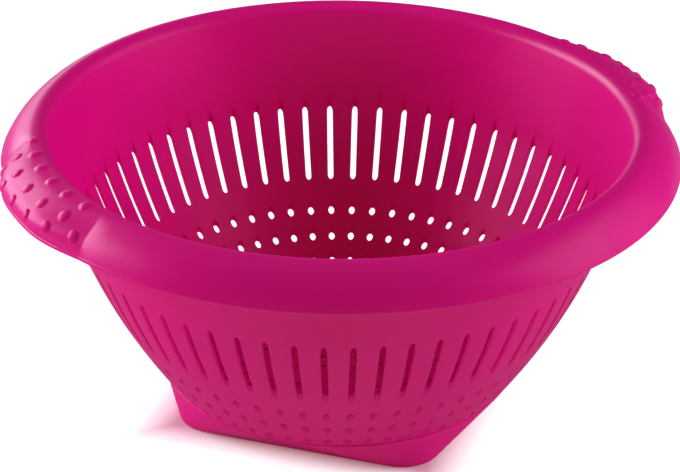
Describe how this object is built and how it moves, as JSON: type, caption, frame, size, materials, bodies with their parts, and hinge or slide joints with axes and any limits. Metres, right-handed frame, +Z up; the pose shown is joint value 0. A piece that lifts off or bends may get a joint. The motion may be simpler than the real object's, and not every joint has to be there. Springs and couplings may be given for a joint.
{
  "type": "colander",
  "caption": "Round plastic colander with slotted and perforated bowl, wide turned-down rim with two studded hand grips, and a square standing foot.",
  "frame": {"origin": "on the ground under the middle of the foot", "axes": "+Z up along the bowl's axis, +X through the middle of the right grip, +Y towards the back"},
  "size_m": [0.29, 0.2794, 0.1277],
  "materials": {
    "plastic": "moulded, semi-gloss, magenta pink"
  },
  "bodies": {
    "root": {"rim_front": "plastic", "rim_back": "plastic", "grip_left": "plastic", "grip_right": "plastic", "collar": "plastic", "bowl_upper": "plastic", "bowl_lower": "plastic", "floor": "plastic", "foot": "plastic"}
  },
  "joints": []
}
